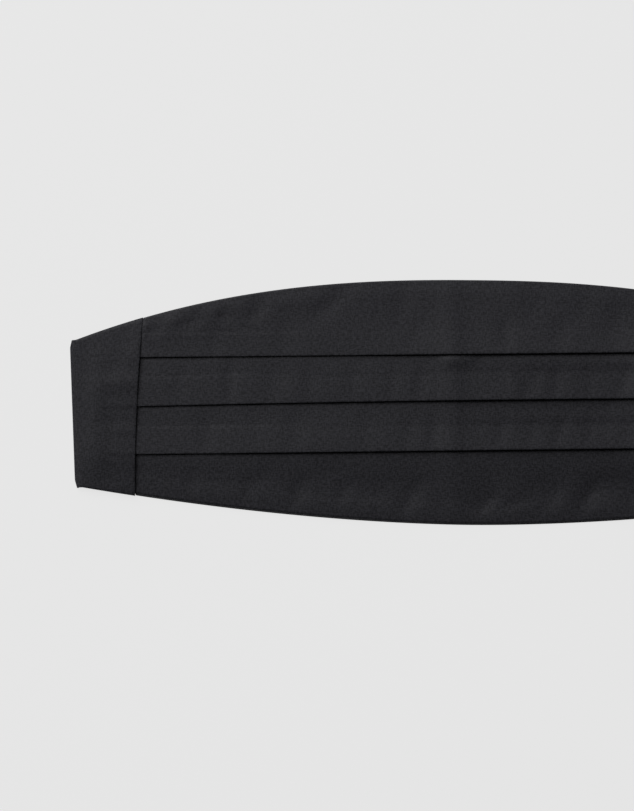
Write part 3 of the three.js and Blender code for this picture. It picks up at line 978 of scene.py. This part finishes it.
class CUMMERBUND_OT_waist_strap(bpy.types.Operator):
    """Makes the two halves of the elastic waist strap, looped over the hook and box stitched"""

    bl_idname = "cummerbund.waist_strap"
    bl_label = "Waist strap"

    def execute(self, context):
        s = context.scene.cummerbund_strap
        material = elastic_material("black woven elastic", s)
        thread = thread_material("black polyester thread")
        for side, name in ((-1, "left"), (1, "right")):
            section = strap_section(side)
            lengths = section.lengths()

            def flat(column, row):
                return -lengths[column], (row / (STRAP_ROWS - 1) - 0.5) * STRAP_WIDTH

            def folded(column, row):
                p, z = section.points[column]
                y = STRAP_Y - side * (row / (STRAP_ROWS - 1) - 0.5) * STRAP_WIDTH
                return Vector((HOOK_X + side * p, y, z))

            bm = cut_and_fold(len(section.points), STRAP_ROWS, flat, folded)
            strap = finish_piece(bm, f"strap_{name}_elastic", material, s.thickness)
            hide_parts(f"waist_strap_{name}")
            bm = bmesh.new()
            box_stitches(bm, side)
            finish_piece(bm, f"strap_{name}_stitches", thread)
        return {"FINISHED"}


HOOK_ROUND = 0.22
HOOK_WELD = 0.002
HOOK_FLAT_ANGLE, HOOK_SHARP_ANGLE = math.radians(2), math.radians(60)


class CUMMERBUND_OT_hook(bpy.types.Operator):
    """Rounds the edges of the flat hook and enamels it"""

    bl_idname = "cummerbund.hook"
    bl_label = "Strap hook"

    def execute(self, context):
        s = context.scene.cummerbund_strap
        bm = bmesh.new()
        bm.from_mesh(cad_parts["strap_hook"].data)
        bmesh.ops.scale(bm, vec=(1 / MM,) * 3, verts=bm.verts)
        bmesh.ops.remove_doubles(bm, verts=bm.verts, dist=HOOK_WELD)
        bmesh.ops.dissolve_limit(
            bm, angle_limit=HOOK_FLAT_ANGLE, verts=bm.verts, edges=bm.edges
        )
        sharp = [e for e in bm.edges if e.calc_face_angle(0.0) > HOOK_SHARP_ANGLE]
        bmesh.ops.bevel(
            bm, geom=sharp, offset=HOOK_ROUND, segments=2, profile=0.5, affect="EDGES",
            material=-1,
        )
        plate = finish_piece(bm, "hook_plate", enamel_material("black enamelled steel", s))
        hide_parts("strap_hook")
        return {"FINISHED"}


# ---------------------------------------------------------------------------------------------
# Stage, in metres

FLOOR_HALF = 3.0
KEY_DIRECTION = (-0.55, 0.74, 0.75)
KEY_DISTANCE = 2.2
KEY_HALF_ANGLE = math.radians(28)
CAMERA_AT, CAMERA_TURN, CAMERA_LENS = (-0.0805, -0.0009, 1.994), math.radians(-0.63), 170


class CUMMERBUND_OT_stage(bpy.types.Operator):
    """Makes the floor, the lights and the camera"""

    bl_idname = "cummerbund.stage"
    bl_label = "Stage"

    def execute(self, context):
        s = context.scene.cummerbund_stage
        scene = context.scene
        scene.view_settings.view_transform = "Standard"
        bm = bmesh.new()
        bmesh.ops.create_grid(bm, x_segments=1, y_segments=1, size=FLOOR_HALF)
        mesh = bpy.data.meshes.new("floor")
        bm.to_mesh(mesh)
        bm.free()
        mesh.materials.append(floor_material(s))
        floor = bpy.data.objects.new("floor", mesh)
        scene.collection.objects.link(floor)

        world = bpy.data.worlds.new("studio")
        world.use_nodes = True
        background = world.node_tree.nodes["Background"].inputs
        background["Color"].default_value = (1, 1, 1, 1)
        background["Strength"].default_value = s.sky
        scene.world = world

        light = bpy.data.lights.new("key", "AREA")
        light.shape = "DISK"
        light.size = 2 * KEY_DISTANCE * math.tan(KEY_HALF_ANGLE)
        light.energy = s.key_light
        key = bpy.data.objects.new("key", light)
        key.location = Vector(KEY_DIRECTION).normalized() * KEY_DISTANCE
        key.rotation_euler = key.location.to_track_quat("Z", "Y").to_euler()
        key.visible_camera = False
        scene.collection.objects.link(key)

        data = bpy.data.cameras.new("camera")
        data.lens = CAMERA_LENS
        data.sensor_width = 36
        data.clip_start, data.clip_end = 0.01, 20
        camera = bpy.data.objects.new("camera", data)
        camera.location = CAMERA_AT
        camera.rotation_euler = (0, 0, CAMERA_TURN)
        scene.collection.objects.link(camera)
        scene.camera = camera
        return {"FINISHED"}


OPERATORS = (
    CUMMERBUND_OT_stage,
    CUMMERBUND_OT_waist_strap,
    CUMMERBUND_OT_hook,
    CUMMERBUND_OT_front,
    CUMMERBUND_OT_end_panels,
)


class CUMMERBUND_PT_pieces(bpy.types.Panel):
    """Lists the pieces and their settings"""

    bl_idname = "CUMMERBUND_PT_pieces"
    bl_label = "Cummerbund"
    bl_space_type = "VIEW_3D"
    bl_region_type = "UI"
    bl_category = "Cummerbund"

    def draw(self, context):
        layout = self.layout
        for name in SETTINGS:
            box = layout.box()
            group = getattr(context.scene, name)
            for prop in group.bl_rna.properties:
                if prop.identifier not in {"rna_type", "name"}:
                    box.prop(group, prop.identifier)
        for operator in OPERATORS:
            layout.operator(operator.bl_idname)


SETTINGS = {
    "cummerbund_cloth": CummerbundClothSettings,
    "cummerbund_strap": CummerbundStrapSettings,
    "cummerbund_stage": CummerbundStageSettings,
}


def register():
    for cls in (*SETTINGS.values(), *OPERATORS, CUMMERBUND_PT_pieces):
        bpy.utils.register_class(cls)
    for name, cls in SETTINGS.items():
        setattr(bpy.types.Scene, name, PointerProperty(type=cls))


def unregister():
    for name in SETTINGS:
        delattr(bpy.types.Scene, name)
    for cls in (CUMMERBUND_PT_pieces, *reversed(OPERATORS), *reversed(SETTINGS.values())):
        bpy.utils.unregister_class(cls)


def main():
    register()
    for operator in OPERATORS:
        group, name = operator.bl_idname.split(".")
        getattr(getattr(bpy.ops, group), name)()


if __name__ == "__main__":
    main()
